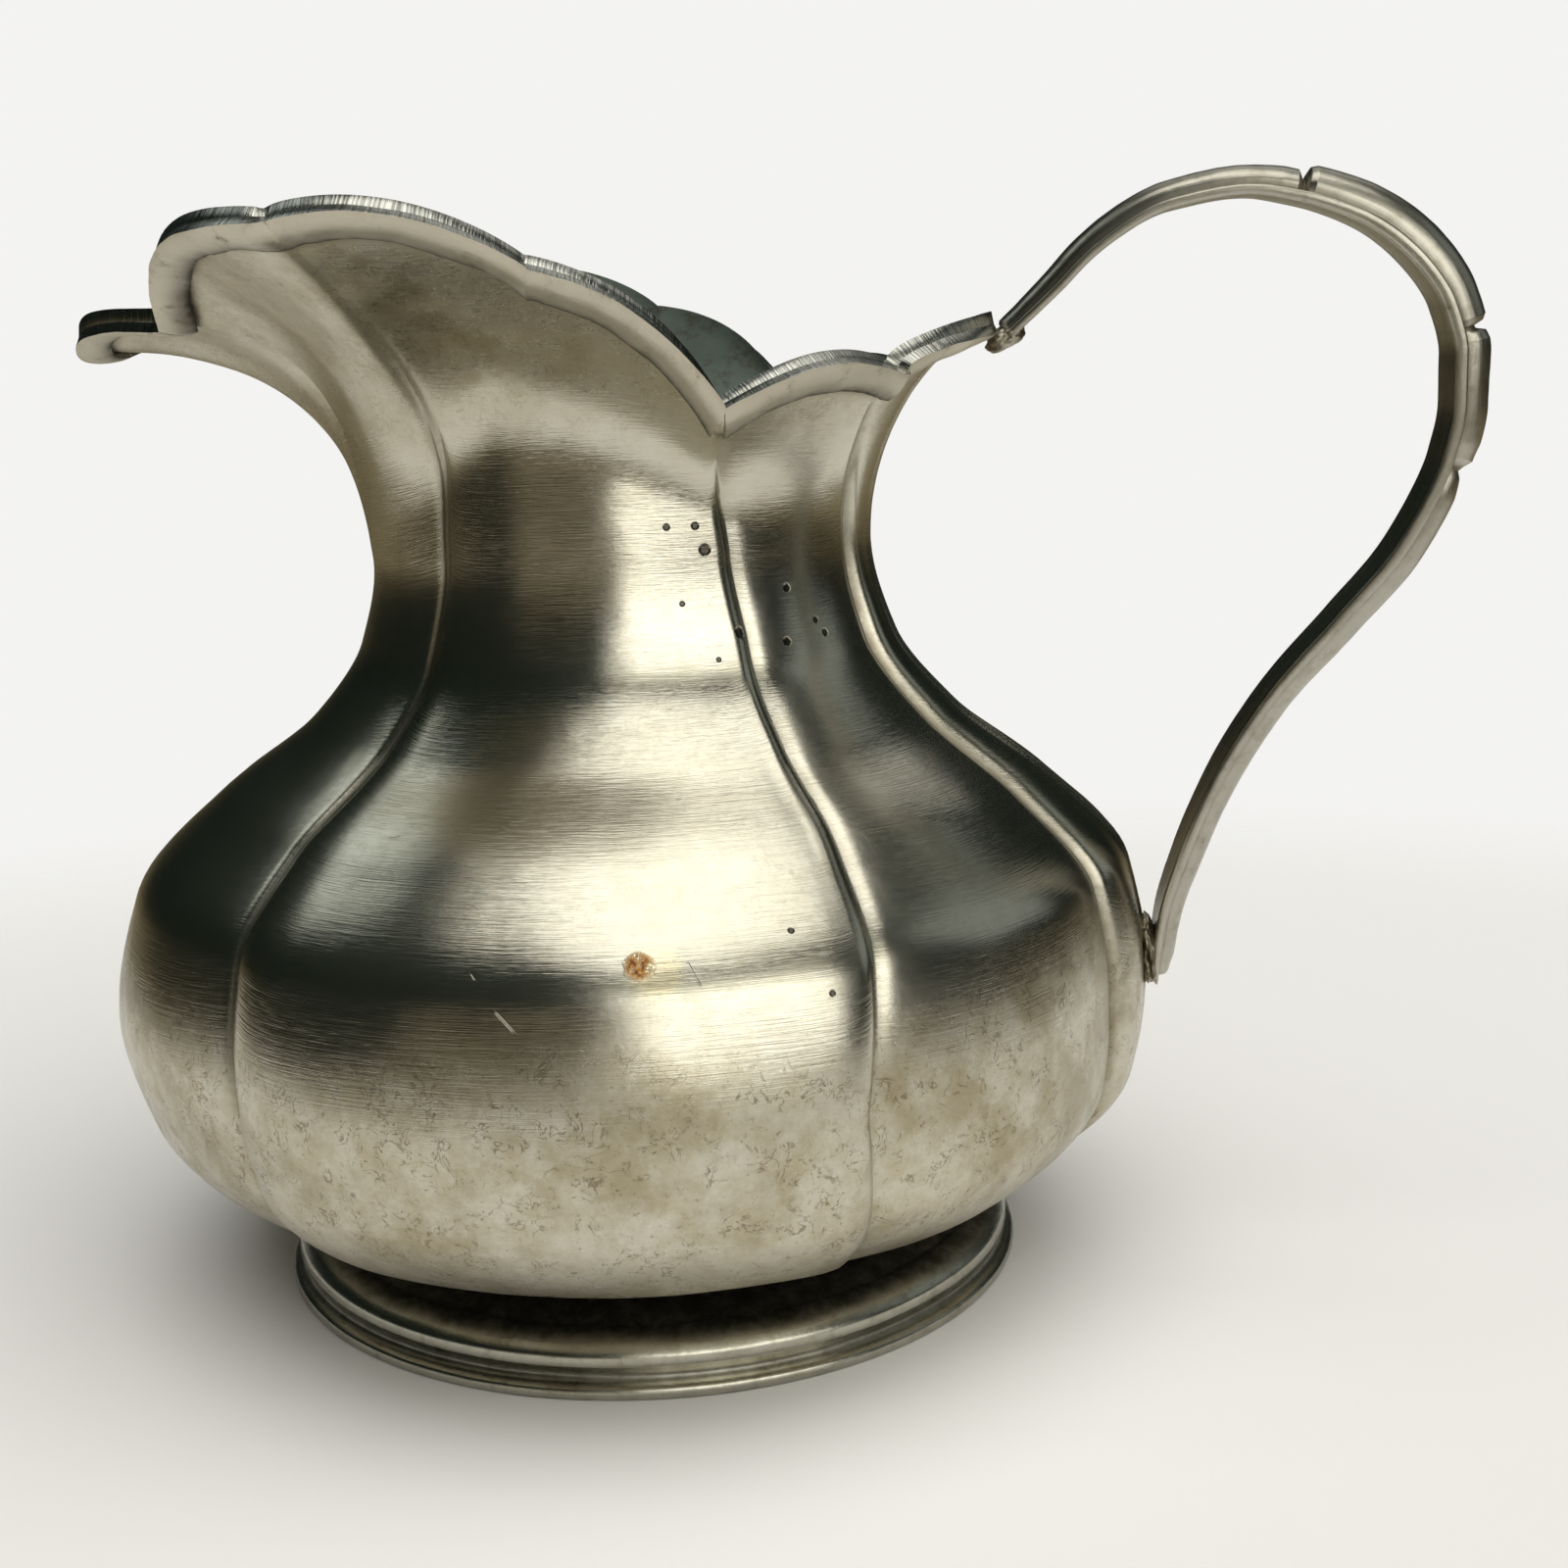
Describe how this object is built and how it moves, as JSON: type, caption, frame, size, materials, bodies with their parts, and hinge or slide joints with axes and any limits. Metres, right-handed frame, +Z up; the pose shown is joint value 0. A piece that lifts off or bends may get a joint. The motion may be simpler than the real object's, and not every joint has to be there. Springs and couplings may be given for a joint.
{
  "type": "milk jug",
  "caption": "Lobed pewter jug with a pinched neck, a flaring scalloped mouth with a pouring lip, a round moulded foot and a looped strap handle, for pouring sauce or milk.",
  "frame": {"origin": "centre of the object's footprint box on the table", "axes": "+X from the spout towards the handle, +Y to the right when looking from the handle to the spout, +Z up"},
  "size_m": [0.1269, 0.0968, 0.1],
  "materials": {
    "body": "satin hand-brushed pewter with darkened patina, casting pits and fine scratches",
    "band": "filed pewter edge, warm grey, dirt held along its lower edge",
    "foot": "turned pewter, polished on the roll, dark in the hollow",
    "handle": "cast pewter, soft polish on the outer rib, duller on the inner strip",
    "solder": "dull grey solder"
  },
  "bodies": {
    "root": {"body_left": "body", "body_right": "body", "base_disc": "body", "foot_ring": "foot", "band_left": "band", "band_right": "band", "band_rear": "band", "band_spout": "band", "handle": "handle", "handle_solder": "solder", "handle_lug": "solder"}
  },
  "joints": []
}
